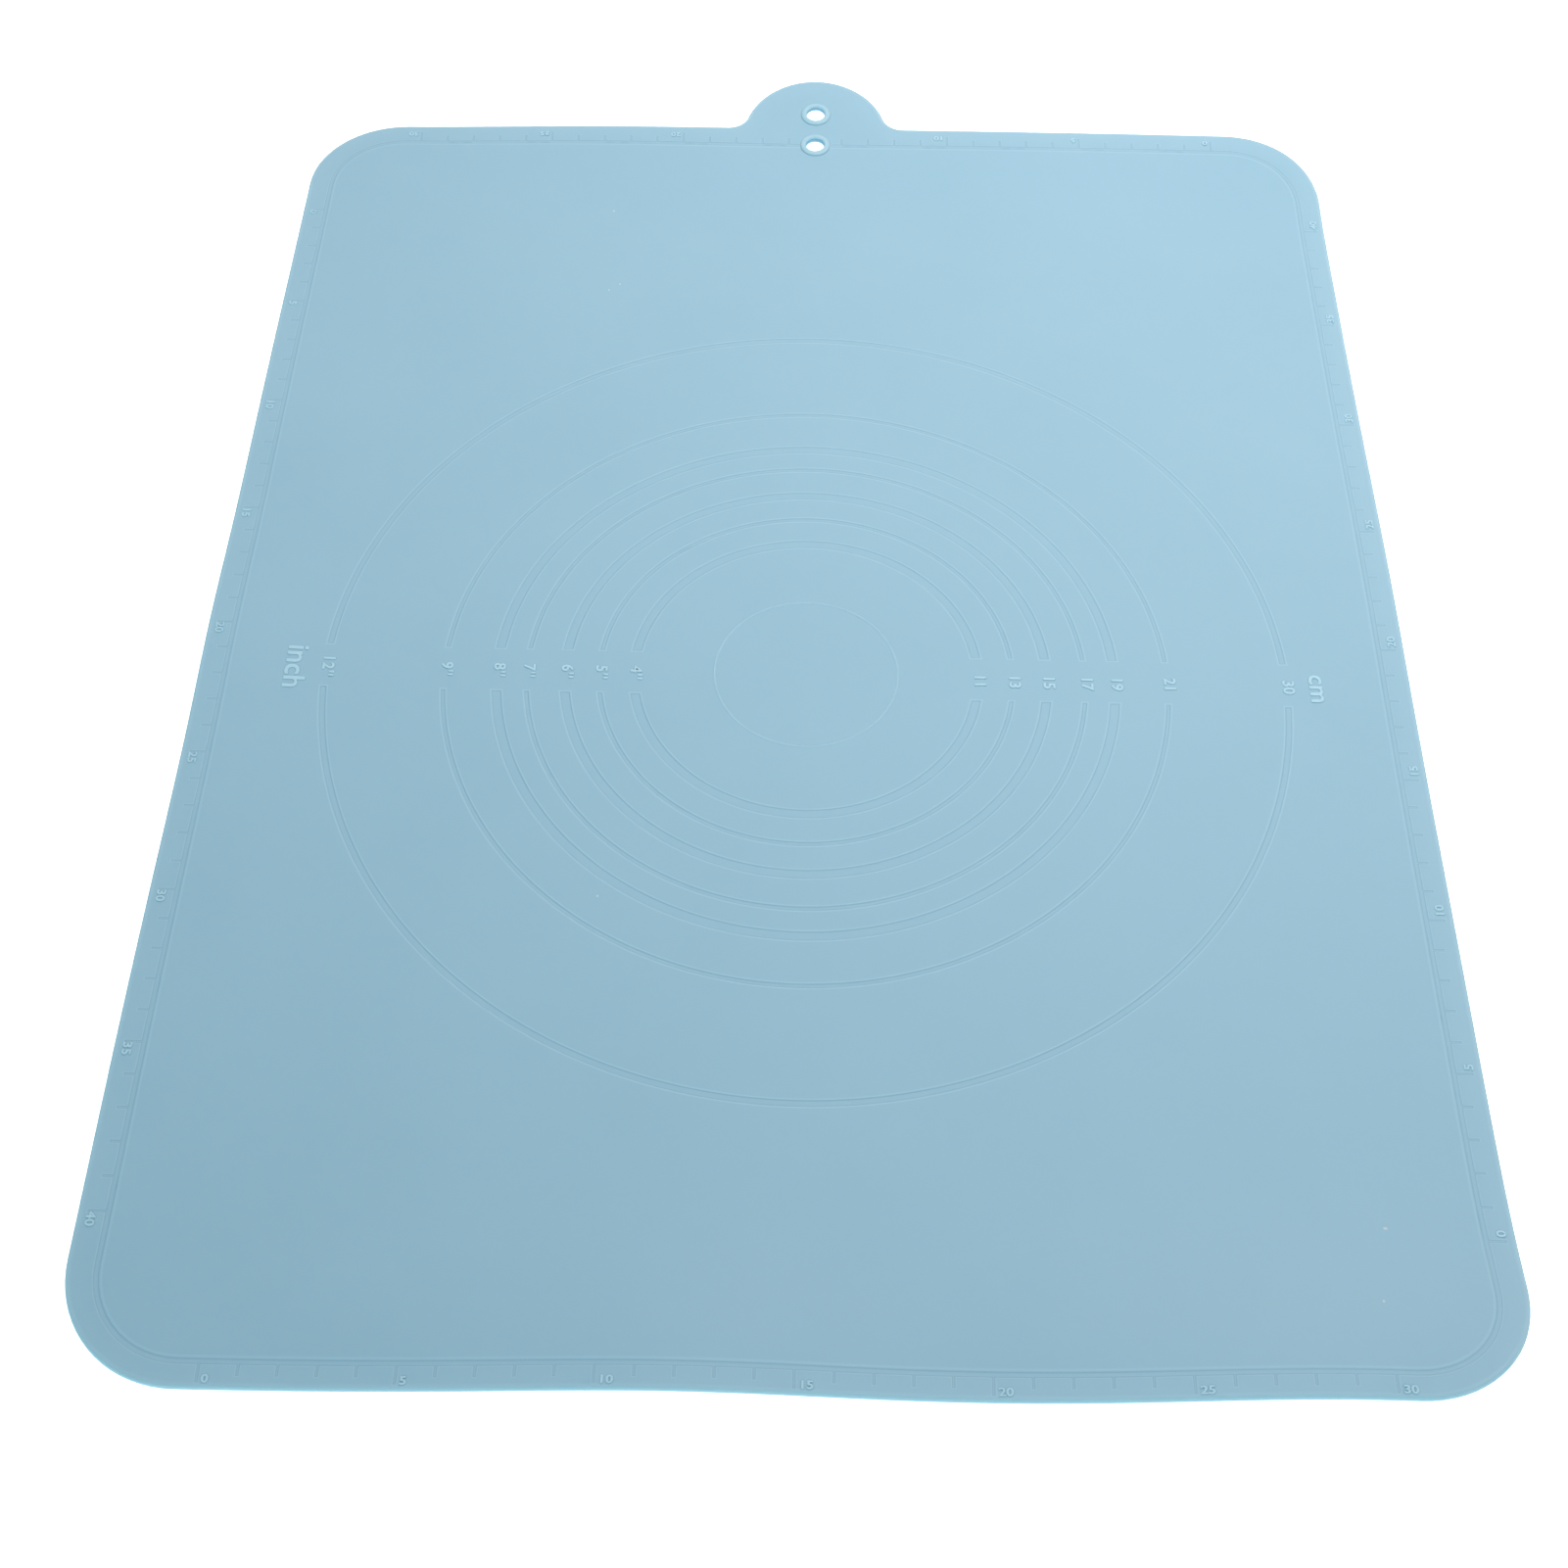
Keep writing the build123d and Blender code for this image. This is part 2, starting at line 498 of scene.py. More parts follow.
def surface_place(tree):
    """The wire of a surface point's place on its object."""
    return add_node(tree, "ShaderNodeTexCoord", output=OBJECT_PLACE)


def stored_value(tree, name):
    """The wire of a value that the mesh stores."""
    return add_node(tree, "ShaderNodeAttribute", attribute_name=name, output=ATTRIBUTE_VALUE)


@built_once
def silicone_mottle(name):
    """Shader group: slow mottling and fine grain of moulded silicone, each from 0 to 1."""
    scales = {"Mottle Scale": 14.0, "Grain Scale": 1400.0}
    tree, given = shader_tree(name, scales, ("Mottle", "Grain"))
    place = surface_place(tree)
    mottle, grain = (
        add_node(
            tree, "ShaderNodeTexNoise",
            {"Vector": place, "Scale": given[scale], "Detail": detail, "Roughness": roughness},
        )
        for scale, detail, roughness in (("Mottle Scale", 5.0, 0.6), ("Grain Scale", 3.0, 0.65))
    )
    mottle = add_node(tree, "ShaderNodeMapRange", {"Value": mottle, "From Min": 0.3, "From Max": 0.7})
    return close_tree(tree, Mottle=mottle, Grain=grain)


# Stray specks of dust: place across and along, and reach across and along, in millimetres.
DUST_SPECKS = (
    (-74.2, 216.9, 0.35, 0.5),
    (-73.2, 174.1, 0.3, 0.45),
    (-69.5, 177.4, 0.3, 0.45),
    (154.7, -183.6, 0.6, 0.4),
    (150.3, -205.4, 0.35, 0.35),
    (-59.4, -84.4, 0.3, 0.35),
)


@built_once
def silicone_dust(name):
    """Shader group: mask of a few stray specks of dust."""
    tree, given = shader_tree(name, {"Strength": 1.0}, ("Dust",))
    x, y, _ = vector_parts(tree, surface_place(tree))
    dust = x * 0.0
    for speck in DUST_SPECKS:
        dust += ellipse_square(x, y, *speck).maths("LESS_THAN", 1.0)
    return close_tree(tree, Dust=dust * given["Strength"])


@built_once
def silicone_relief(name):
    """Shader group: masks of the painted shade at the foot of walls and letters, on groove walls and in the
    bores, and of the painted highlights along the raised edges beside them.
    """
    values = {"Hollow Reach": 0.5 * MM, "Hollow Share": 1.0, "Wall Share": 0.3}
    tree, given = shader_tree(name, values, ("Hollow", "Crest"))
    # Painted shade: darker where the surface is closed in within the given reach, at the foot of walls and
    # letters.
    open_share = add_node(
        tree, "ShaderNodeAmbientOcclusion", {"Distance": given["Hollow Reach"]}, output=1, samples=6
    )
    hollow = add_node(
        tree, "ShaderNodeMapRange",
        {"Value": open_share, "From Min": 0.95, "From Max": 0.5, "To Min": 0.0, "To Max": 1.0},
    )
    # The stored tone is painted shade on groove walls below 0 and painted highlight along their top edges
    # above 0; the bores hold painted shade.
    tone = stored_value(tree, "relief_tone")
    bore = stored_value(tree, "bore")
    wall = (tone * -1.0).maths("MAXIMUM", 0.0) * given["Wall Share"]
    hollow = (hollow * given["Hollow Share"]).maths("MAXIMUM", bore).maths("MAXIMUM", wall)
    return close_tree(tree, Hollow=hollow, Crest=tone.maths("MAXIMUM", 0.0))


def place_group(tree, group, values):
    """A shader group placed in a material, with its own values; gives the wires of its outputs."""
    node = tree.nodes.new("ShaderNodeGroup")
    node.node_tree = group
    set_sockets(node, values)
    return [Wire(tree, output) for output in node.outputs]


def mix_colours(tree, share, first, second):
    """First colour where the share is 0, second where it is 1."""
    node = tree.nodes.new("ShaderNodeMix")
    node.data_type = "RGBA"
    plug(tree, node.inputs[0], share)
    for socket, colour in ((node.inputs[6], first), (node.inputs[7], second)):
        plug(tree, socket, colour if isinstance(colour, Wire) else (*colour, 1.0))
    return Wire(tree, node.outputs[2])


# How far from the mat's edge the painted light on its thin rounded rim reaches, and how far the wider painted
# glow beside it reaches.
RIM_LIGHT_REACH = 2.4 * MM
GLOW_REACH = 9.0 * MM

PLAIN_ROUGHNESS = 0.46
MOTTLE_ROUGHNESS = 0.06
GRAIN_ROUGHNESS = 0.08


def silicone_material(name, painted_highlight):
    """Matt moulded silicone with painted light and shade; the painted highlight share moves the whole colour
    towards the raised parts' paler, highlit colour.
    """
    if name in bpy.data.materials:
        return bpy.data.materials[name]
    look = mat_settings().silicone
    material = bpy.data.materials.new(name)
    material.use_nodes = True
    tree = material.node_tree
    surface = tree.nodes["Principled BSDF"]

    mottle, grain = place_group(tree, silicone_mottle(), {"Mottle Scale": 14.0, "Grain Scale": 1400.0})
    # The painted highlight moves the silicone's own colour and its bloom towards the paler colour of the
    # raised parts.
    body, worn = (
        [a + (b - a) * painted_highlight for a, b in zip(plain, look.raised)] for plain in (look.body, look.worn)
    )

    # Painted light: paler along the thin rounded edge and in a wider band beside it, fading out as the
    # painted highlight share grows.
    from_edge = stored_value(tree, "from_edge")
    rim = add_node(
        tree, "ShaderNodeMapRange",
        {"Value": from_edge, "From Max": RIM_LIGHT_REACH, "To Min": 1.0 - painted_highlight, "To Max": 0.0},
        interpolation_type="SMOOTHSTEP",
    )
    glow_share = look.glow_share * (1.0 - painted_highlight)
    glow = add_node(
        tree, "ShaderNodeMapRange",
        {"Value": from_edge, "From Max": GLOW_REACH, "To Min": glow_share, "To Max": 0.0},
    )
    # Painted shade at the foot of walls and letters, on groove walls and in the bores, the part at the foot
    # of walls and letters fading out as the painted highlight share grows; painted highlights along raised
    # edges.
    hollow, crest = place_group(tree, silicone_relief(), {
        "Hollow Reach": 0.5 * MM,
        "Hollow Share": look.hollow_share * (1.0 - painted_highlight),
        "Wall Share": look.wall_share,
    })
    dust, = place_group(tree, silicone_dust(), {"Strength": 1.0})
    colour = body
    layers = (
        (mottle, worn),
        (rim.maths("MAXIMUM", glow), look.rim),
        (hollow, look.hollow),
        (crest * look.crest_share, look.crest),
        (dust, look.dust),
    )
    for share, over in layers:
        colour = mix_colours(tree, share, colour, over)
    plug(tree, surface.inputs["Base Color"], colour)

    roughness = mottle * MOTTLE_ROUGHNESS + grain * GRAIN_ROUGHNESS + PLAIN_ROUGHNESS
    plug(tree, surface.inputs["Roughness"], roughness)
    bump = add_node(tree, "ShaderNodeBump", {"Strength": 0.12, "Distance": 0.05 * MM, "Height": grain})
    plug(tree, surface.inputs["Normal"], bump)
    set_sockets(surface, {
        "Specular IOR Level": 0.15,
        "Subsurface Weight": 0.12,
        "Subsurface Radius": (0.6, 0.8, 1.0),
        "Subsurface Scale": 0.0015,
    })
    return material


def white_floor_material():
    """Plain white studio floor."""
    material = bpy.data.materials.new("white_floor")
    material.use_nodes = True
    set_sockets(material.node_tree.nodes["Principled BSDF"], {
        "Base Color": (0.93, 0.93, 0.93, 1),
        "Roughness": 0.9,
        "Specular IOR Level": 0.0,
        "Emission Color": (1, 1, 1, 1),
        "Emission Strength": 0.9,
    })
    return material


# Paths of the flat pattern, and the distances between their points

CORNER_STEP = 3 * MM
TAB_STEP = 2 * MM
TAB_ROOT_STEP = 1 * MM
FINE_RING_STEP = 1.6 * MM
HOLE_STEP = 0.6 * MM


def arc(centre, radius, start, end, step=CORNER_STEP):
    """Points along an arc, start and end in degrees, both ends included."""
    sweep = math.radians(end - start)
    steps = max(3, math.ceil(abs(sweep) * radius / step))
    angles = (math.radians(start) + sweep * place / steps for place in range(steps + 1))
    return [Vector((centre[0] + radius * math.cos(a), centre[1] + radius * math.sin(a))) for a in angles]


def circle(centre, radius, step):
    """Closed path round a circle."""
    return arc(centre, radius, 0, 360, step)[:-1]


def hole_circle(hole, wider=0.0):
    """Closed path round a hanging hole, or that much wider."""
    return circle(hole, mat_settings().sheet.hole_radius + wider, HOLE_STEP)


def straight(start, end, step):
    """Points from start to end, both left out."""
    steps = max(1, math.ceil((end - start).length / step))
    return [start.lerp(end, place / steps) for place in range(1, steps)]


def closed_path(runs, step):
    """One closed path through runs of points, with the straights between them divided."""
    path = []
    for run, following in zip(runs, runs[1:] + runs[:1]):
        path += run + straight(run[-1], following[0], step)
    return path


def moved_points(path, offsets):
    """The closed path with each point moved sideways by its own offset."""
    moved = []
    befores = path[-1:] + path[:-1]
    afters = path[1:] + path[:1]
    for before, here, after, offset in zip(befores, path, afters, offsets):
        coming = (here - before).normalized()
        going = (after - here).normalized()
        normal = Vector((coming.y + going.y, -coming.x - going.x))
        moved.append(here + normal * (offset / (1 + coming.dot(going))))
    return moved


def moved_path(path, offset):
    """The closed path moved sideways; outwards is positive for one that runs anticlockwise."""
    return moved_points(path, [offset] * len(path))


def inside(point, path):
    """Whether a point is inside a closed path."""
    crossed = False
    before = path[-1]
    for here in path:
        if (here.y > point.y) != (before.y > point.y):
            reach = (before.x - here.x) * (point.y - here.y) / (before.y - here.y) + here.x
            crossed ^= point.x < reach
        before = here
    return crossed


def polygon_area(path):
    """Area inside a closed path."""
    pairs = zip(path, path[1:] + path[:1])
    return abs(sum(here.x * after.y - after.x * here.y for here, after in pairs)) / 2


def point_tree(points):
    """A search tree of flat points."""
    tree = KDTree(len(points))
    for index, point in enumerate(points):
        tree.insert((point.x, point.y, 0), index)
    tree.balance()
    return tree


def nearest(tree, point):
    """Number of the search tree's point that is nearest in plan, and its distance."""
    return tree.find((point.x, point.y, 0))[1:]


def far_edge_line():
    """Where the sheet's straight far edge lies."""
    return sheet_high.y - mat_settings().sheet.tab_reach


def line_middle():
    """Middle of the border line and the rulers, along the sheet."""
    return (near_edge + far_edge_line()) / 2 - mat_settings().relief.line_shift


def line_half_width():
    """Border line's middle from the sheet's middle, across."""
    return sheet_half_width - mat_settings().relief.line_inset


def line_half_length():
    """Border line's middle from the sheet's middle, along."""
    return (far_edge_line() - near_edge) / 2 - mat_settings().relief.line_inset


def outline_path():
    """The sheet's outline, anticlockwise from the near right corner."""
    sizes = mat_settings().sheet
    far_edge = far_edge_line()
    corner_x = sheet_half_width - sizes.corner_radius
    near_y = near_edge + sizes.corner_radius
    far_y = far_edge - sizes.corner_radius
    cap_y = sheet_high.y - sizes.tab_radius
    root_y = far_edge + sizes.tab_root_fillet
    apart = sizes.tab_radius + sizes.tab_root_fillet
    root_x = math.sqrt(apart**2 - (root_y - cap_y) ** 2)
    meet = math.degrees(math.atan2(root_y - cap_y, root_x))
    runs = [
        arc((corner_x, near_y), sizes.corner_radius, -90, 0),
        arc((corner_x, far_y), sizes.corner_radius, 0, 90),
        arc((root_x, root_y), sizes.tab_root_fillet, -90, meet - 180, TAB_ROOT_STEP),
        arc((0, cap_y), sizes.tab_radius, meet, 180 - meet, TAB_STEP)[1:-1],
        arc((-root_x, root_y), sizes.tab_root_fillet, -meet, -90, TAB_ROOT_STEP),
        arc((-corner_x, far_y), sizes.corner_radius, 90, 180),
        arc((-corner_x, near_y), sizes.corner_radius, 180, 270),
    ]
    return closed_path(runs, sizes.mesh_step)


def ruler_side(turn):
    """Ruler's length and the border line's distance, on the side that a turn in degrees points at."""
    relief = mat_settings().relief
    if turn in (0, 180):
        return relief.ruler_across, line_half_length()
    return relief.ruler_along, line_half_width()


def line_side(turn, start, end, aside, ticks):
    """One side of the border line from start to end, with its ticks' outlines if asked for."""
    relief = mat_settings().relief
    ruler, distance = ruler_side(turn)
    turned = Matrix.Rotation(math.radians(turn), 2)
    middle = Vector((0, line_middle()))
    half_tick = relief.tick_width / 2
    points = [(start, aside)]
    for step in range(round(ruler / relief.tick_pitch) + 1):
        along = step * relief.tick_pitch - ruler / 2
        if not start < along < end:
            continue
        if ticks:
            labelled = step % mat_settings().lettering.numbers_apart == 0
            reach = relief.label_tick_reach if labelled else relief.tick_reach
            points += [(along - half_tick, aside), (along - half_tick, reach)]
            points += [(along + half_tick, reach), (along + half_tick, aside)]
        else:
            points.append((along, aside))
        if along + relief.tick_pitch / 2 < end:
            points.append((along + relief.tick_pitch / 2, aside))
    points.append((end, aside))
    return [middle + turned @ Vector((along, -distance - out)) for along, out in points]


def border_line_side(aside, ticks, gap):
    """One side of the border line all the way round, anticlockwise from the lower hole."""
    radius = mat_settings().sheet.corner_radius - mat_settings().relief.line_inset
    run_across = line_half_width() - radius
    run_along = line_half_length() - radius
    path = line_side(180, gap, run_across, aside, ticks)
    # Each corner's first angle and its place, and then the turn, start and end of the side after it.
    bends = (
        (90, -1, 1, 270, -run_along, run_along),
        (180, -1, -1, 0, -run_across, run_across),
        (-90, 1, -1, 90, -run_along, run_along),
        (0, 1, 1, 180, -run_across, -gap),
    )
    for first, right, far, turn, start, end in bends:
        corner = (right * run_across, line_middle() + far * run_along)
        path += arc(corner, radius + aside, first, first + 90)[1:-1]
        path += line_side(turn, start, end, aside, ticks)
    return path


# Plain face left between the border line's ends and the lower ring.
RING_LAND = 0.5 * MM


def border_groove():
    """The border line's outer side with its ticks, and its inner side, open beside the lower hole."""
    half = mat_settings().relief.line_width / 2
    gap = math.sqrt((ring_radius + RING_LAND) ** 2 - half**2)
    outer = border_line_side(half, True, gap)
    inner = border_line_side(-half, False, gap)
    return outer, inner[::-1]


# Dough circles: radius of the groove's middle, its width, and its two labels.
DOUGH_CIRCLES = (
    (53.8, 3.0, "4''", "11"),
    (64.6, 1.4, "5''", "13"),
    (75.3, 3.0, "6''", "15"),
    (87.2, 1.4, "7''", "17"),
    (96.5, 3.0, "8''", "19"),
    (113.0, 1.4, "9''", "21"),
    (150.0, 2.0, "12''", "30"),
)


def circle_grooves():
    """Closed path round each half of each dough circle."""
    relief = mat_settings().relief
    paths = []
    for middle, width, _, _ in DOUGH_CIRCLES:
        outer = (middle + width / 2) * MM
        inner = (middle - width / 2) * MM
        for turn, gap in ((0, relief.gap_above), (180, relief.gap_below)):
            ends = [math.degrees(math.asin(gap / radius)) for radius in (outer, inner)]
            path = arc((0, 0), outer, turn + ends[0], turn + 180 - ends[0])
            path += arc((0, 0), inner, turn + 180 - ends[1], turn + ends[1])
            paths.append(path)
    return paths


# Cross-section of a circle's groove: distance outside its edge in millimetres, share of its depth, and
# tone, which is above 0 for the painted highlight along the top edge and below 0 for the painted shade on the
# wall.
CIRCLE_GROOVE = (
    (0.65, 0.0, 0.0),
    (0.42, 0.0, 0.6),
    (0.22, 0.0, 1.0),
    (0.05, 0.1, 0.2),
    (-0.1, 0.5, -0.7),
    (-0.24, 0.85, -1.0),
    (-0.38, 1.0, 0.0),
    (-0.55, 1.0, 0.0),
)

# The border line's section: distance outside its outer and its inner edge, share of its depth, and the
# tone on either side, painted highlight above 0 along the top edge and painted shade below 0 on the wall.
# The painted highlight is broader along the inner side, where no ticks stand.
BORDER_GROOVE = (
    (0.28, 1.0, 0.0, 0.0, 0.0),
    (0.17, 0.5, 0.0, 0.8, 0.7),
    (0.05, 0.15, 0.1, 0.2, 0.3),
    (-0.1, -0.1, 0.5, -0.7, -0.6),
    (-0.24, -0.24, 0.85, -1.0, -0.9),
    (-0.38, -0.38, 1.0, 0.0, 0.0),
)

# The fine raised ring's section: distance from its middle, share of its height, and tone of the painted
# highlight on it.
RAISED_RING = (
    (-0.6, 0.0, 0.0), (-0.3, 0.0, 0.35), (-0.1, 1.0, 1.0), (0.1, 1.0, 1.0), (0.3, 0.0, 0.35), (0.6, 0.0, 0.0),
)

# Rows of points round a hanging hole, in millimetres from its wall, and how dark the painted shade on its
# wall is.
HOLE_ROWS = (0.0, 0.35, 0.9)
BORE_SHADE = 0.65

# Twice the area in square metres under which a triangle is a sliver along a straight edge.
SLIVER = 1e-9

# Distances in metres at which two points are one: in the pattern, and in the mesh.
PATTERN_MERGE = 1e-7
MESH_MERGE = 2e-6

# The grid's points keep this share of the mesh step away from every path.
GRID_CLEAR = 0.3

# Width of the flat row inside the rounded edge.
EDGE_LAND = 0.1 * MM


class Pattern:
    """A flat pattern of closed paths and loose points, to be filled with triangles."""

    def __init__(self, outline, inset, hole_rows):
        """Starts with the outline, moved in, and with rows of points round each hanging hole."""
        self.points = []
        self.heights = []
        self.tones = []
        self.edges = []
        self.loops = []
        self.outline = moved_path(outline, -inset)
        self.add_path(self.outline)
        self.hole_loops = []
        for hole in hole_places:
            self.hole_loops.append(len(self.loops))
            for wider in hole_rows:
                self.add_path(hole_circle(hole, wider * MM))

    def add_path(self, path, height=0.0, tone=0.0):
        """A closed path, its edges kept; the tone, painted highlight above 0 and painted shade below 0, is
        one number or one for each point.
        """
        first = len(self.points)
        count = len(path)
        self.points += path
        self.heights += [height] * count
        tones = tone if isinstance(tone, list) else [tone] * count
        self.tones += [pair for pair in zip(path, tones) if pair[1]]
        self.edges += [(first + i, first + (i + 1) % count) for i in range(count)]
        self.loops.append(range(first, first + count))

    def add_grid(self):
        """Loose points on a grid, none in a hole or close to a path."""
        sizes = mat_settings().sheet
        step = sizes.mesh_step
        tree = point_tree(self.points)
        columns = math.ceil((sheet_high.x - sheet_low.x) / step)
        rows = math.ceil((sheet_high.y - sheet_low.y) / step)
        for row in range(rows + 1):
            for column in range(columns + 1):
                shift = 0.5 * (row % 2)
                point = Vector((sheet_low.x + (column + shift) * step, sheet_low.y + row * step))
                if any((point - hole).length < sizes.hole_radius for hole in hole_places):
                    continue
                if nearest(tree, point)[1] > GRID_CLEAR * step and inside(point, self.outline):
                    self.points.append(point)
                    self.heights.append(0.0)

    def fill(self):
        """Triangles between the outline and the holes; gives points, heights and triangles."""
        self.add_grid()
        points, _, faces, origins, _, _ = delaunay_2d_cdt(self.points, self.edges, [], 0, PATTERN_MERGE)
        heights = [self.heights[ids[0]] if ids else 0.0 for ids in origins]
        loop_of = {i: number for number in (0, *self.hole_loops) for i in self.loops[number]}
        owner = [loop_of.get(ids[0]) if ids else None for ids in origins]
        kept = []
        for face in faces:
            a, b, c = (points[i] for i in face)
            if abs((b - a).cross(c - a)) < SLIVER:
                continue
            owners = {owner[i] for i in face}
            if len(owners) == 1 and None not in owners:
                if owners != {0} or not inside((a + b + c) / 3, self.outline):
                    continue
            kept.append(list(face))
        return points, heights, kept


def marked_face_pattern(outline):
    """The marked face with all its relief."""
    relief = mat_settings().relief
    edge_round = mat_settings().sheet.edge_round
    pattern = Pattern(outline, edge_round, HOLE_ROWS)
    pattern.add_path(moved_path(outline, -edge_round - EDGE_LAND))
    outer, inner = border_groove()
    for out, inwards, share, outer_tone, inner_tone in BORDER_GROOVE:
        offsets = [out * MM] * len(outer) + [inwards * MM] * len(inner)
        tones = [outer_tone] * len(outer) + [inner_tone] * len(inner)
        pattern.add_path(moved_points(outer + inner, offsets), -share * relief.depth, tones)
    for path in circle_grooves():
        for offset, share, tone in CIRCLE_GROOVE:
            pattern.add_path(moved_path(path, offset * MM), -share * relief.depth, tone)
    for offset, share, tone in RAISED_RING:
        ring = circle((0, 0), relief.ring_radius + offset * MM, FINE_RING_STEP)
        pattern.add_path(ring, share * relief.ring_height, tone)
    return pattern


class Shell:
    """Points and faces of a mesh, collected part by part."""

    def __init__(self):
        self.points = []
        self.faces = []

    def add(self, points, faces):
        """Points with the faces between them."""
        first = len(self.points)
        self.points += points
        self.faces += [[first + i for i in face] for face in faces]

    def add_wall(self, rows):
        """Quads between rows of equal length, each row closed."""
        count = len(rows[0])
        faces = []
        for row in range(len(rows) - 1):
            for i in range(count):
                j = (i + 1) % count
                faces.append((row * count + i, row * count + j, (row + 1) * count + j, (row + 1) * count + i))
        self.add([point for row in rows for point in row], faces)

    def mesh(self, name):
        """One mesh with doubles merged and faces outwards."""
        mesh = bpy.data.meshes.new(name)
        mesh.from_pydata(self.points, [], self.faces)
        work = bmesh.new()
        work.from_mesh(mesh)
        bmesh.ops.remove_doubles(work, verts=work.verts, dist=MESH_MERGE)
        bmesh.ops.recalc_face_normals(work, faces=work.faces)
        work.to_mesh(mesh)
        work.free()
        return mesh


def at_height(path, z):
    """A flat path as points at one height."""
    return [(point.x, point.y, z) for point in path]


def edge_rows(outline):
    """Rows of points from the marked face over the rounded edge to the underside."""
    sizes = mat_settings().sheet
    rows = []
    for degrees in range(0, 91, 18):
        bend = math.radians(degrees)
        inset = sizes.edge_round * (1 - math.sin(bend))
        z = marked_face - sizes.edge_round * (1 - math.cos(bend))
        rows.append(at_height(moved_path(outline, -inset), z))
    for degrees in range(0, 91, 45):
        bend = math.radians(degrees)
        inset = sizes.foot_round * (1 - math.cos(bend))
        z = sizes.foot_round * (1 - math.sin(bend))
        rows.append(at_height(moved_path(outline, -inset), z))
    return rows


# Steps at which the edge is measured, and how near a stored tone or a hole's wall a point has to be.
EDGE_STEP = 0.8 * MM
TONE_REACH = 0.01 * MM
BORE_REACH = 0.05 * MM


def store_shading(mesh, outline, tones):
    """Stores what the material reads: distance from the edge, the relief's painted highlight and shade, and
    the painted shade of the bores.
    """
    edge = point_tree(closed_path([[point] for point in outline], EDGE_STEP))
    toned = point_tree([point for point, _ in tones])
    bore_reach = mat_settings().sheet.hole_radius + BORE_REACH

    def from_edge(place):
        return nearest(edge, place)[1]

    def relief_tone(place):
        index, distance = nearest(toned, place)
        on_relief = distance < TONE_REACH and place.z > 0.5 * marked_face
        return tones[index][1] if on_relief else 0.0

    def bore(place):
        away = min((place.xy - hole).length for hole in hole_places)
        return BORE_SHADE if away < bore_reach else 0.0

    for value_at in (from_edge, relief_tone, bore):
        stored = mesh.attributes.new(value_at.__name__, "FLOAT", "POINT")
        for vertex, entry in zip(mesh.vertices, stored.data):
            entry.value = value_at(vertex.co)


# Pieces

def new_piece(name, mesh=None):
    """A named object in the scene."""
    piece = bpy.data.objects.new(name, mesh or bpy.data.meshes.new(name))
    bpy.context.scene.collection.objects.link(piece)
    return piece


def evaluated_mesh(piece):
    """A plain mesh of a text or of a piece with its modifiers."""
    evaluated = piece.evaluated_get(bpy.context.evaluated_depsgraph_get())
    return bpy.data.meshes.new_from_object(evaluated)


def lay_piece(piece, material, smooth=True):
    """Lays a flat piece on the table with the mat, and leaves it a plain mesh on its body."""
    run_tree(piece, lay_on_table(), {**lay_values(), "Smooth": smooth, "Material": material})
    mesh = evaluated_mesh(piece)
    mesh.name = piece.name
    piece.modifiers.clear()
    piece.data = mesh
    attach(piece, "root")
    return piece


# Height of a number in the font, as a share of its size.
LABEL_FONT_CAP = 0.69
LETTER_BEVEL = 0.11 * MM
LETTER_SUNK = 0.2 * MM


def letter_mesh(words, cap, width, bold=0.0, spread=1.0, centred=False):
    """Raised letters as a mesh, flat on the marked face, their baseline on the X axis."""
    curve = bpy.data.curves.new("letters", "FONT")
    curve.body = words
    curve.size = cap / LABEL_FONT_CAP
    curve.align_x = "CENTER" if centred else "LEFT"
    curve.resolution_u = 3
    curve.offset = bold
    curve.space_character = spread
    curve.bevel_depth = LETTER_BEVEL
    curve.bevel_resolution = 1
    thickness = mat_settings().lettering.raised + LETTER_SUNK
    curve.extrude = thickness / 2 - LETTER_BEVEL
    text = new_piece("letters", curve)
    bpy.context.view_layer.update()
    mesh = evaluated_mesh(text)
    bpy.data.objects.remove(text)
    bpy.data.curves.remove(curve)
    lift = marked_face - LETTER_SUNK + thickness / 2
    mesh.transform(Matrix.Translation((0, 0, lift)) @ Matrix.Diagonal((width, 1, 1, 1)))
    return mesh


def number_stock(name, cap, width):
    """A collection of the centimetre numbers, from which the rows are set out."""
    settings = mat_settings()
    apart = settings.lettering.numbers_apart
    last = round(settings.relief.ruler_along / settings.relief.tick_pitch)
    stock = bpy.data.collections.new(name)
    for number in range(0, last + 1, apart):
        mesh = letter_mesh(str(number), cap, width)
        stock.objects.link(bpy.data.objects.new(f"{name}_{number:02d}", mesh))
    return stock


def join_meshes(name, meshes):
    """One mesh from several, each already in place."""
    shell = Shell()
    for mesh in meshes:
        shell.add([tuple(v.co) for v in mesh.vertices], [tuple(face.vertices) for face in mesh.polygons])
    return shell.mesh(name)


